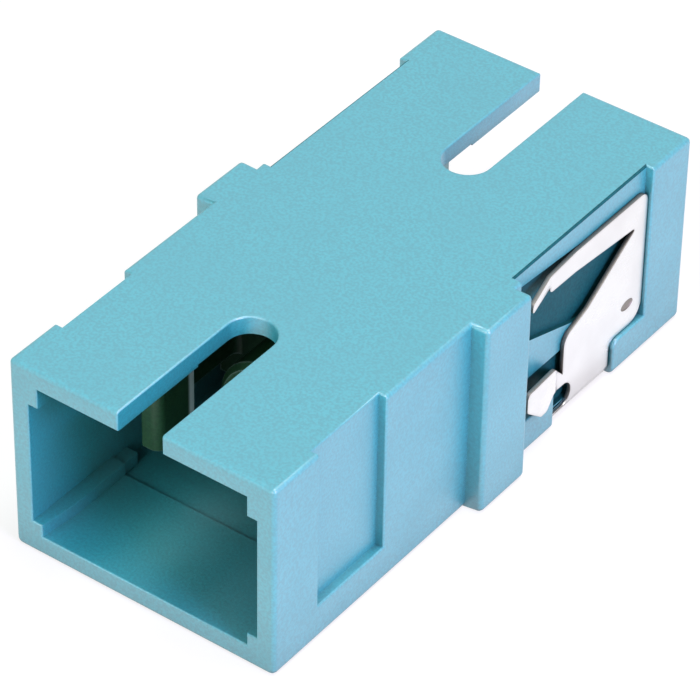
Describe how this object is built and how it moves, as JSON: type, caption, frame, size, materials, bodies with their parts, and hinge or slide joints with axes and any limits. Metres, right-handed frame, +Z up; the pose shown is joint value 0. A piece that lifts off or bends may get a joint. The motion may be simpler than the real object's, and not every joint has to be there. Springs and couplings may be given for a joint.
{
  "type": "sc fibre adapter",
  "caption": "Flangeless simplex SC fibre adapter: moulded housing with collar and keyed ports, latch frames, split alignment sleeve and folded sheet-metal panel clip.",
  "frame": {"origin": "middle of the split sleeve on the optical axis, which is the centre of the bounding box", "axes": "+Y along the optical axis from the front port to the rear port, +Z up towards the keyways, +X to the right seen from the front port"},
  "size_m": [0.0144, 0.0278, 0.0094],
  "materials": {
    "housing_plastic": "aqua moulded plastic, fine satin",
    "frame_plastic": "pale amber moulded plastic, satin",
    "sleeve_ceramic": "white ground zirconia ceramic",
    "clip_steel": "bright stainless spring sheet"
  },
  "bodies": {
    "root": {"outer_housing": "housing_plastic", "front_latch_frame": "frame_plastic", "rear_latch_frame": "frame_plastic", "split_sleeve": "sleeve_ceramic", "panel_clip": "clip_steel"}
  },
  "joints": []
}
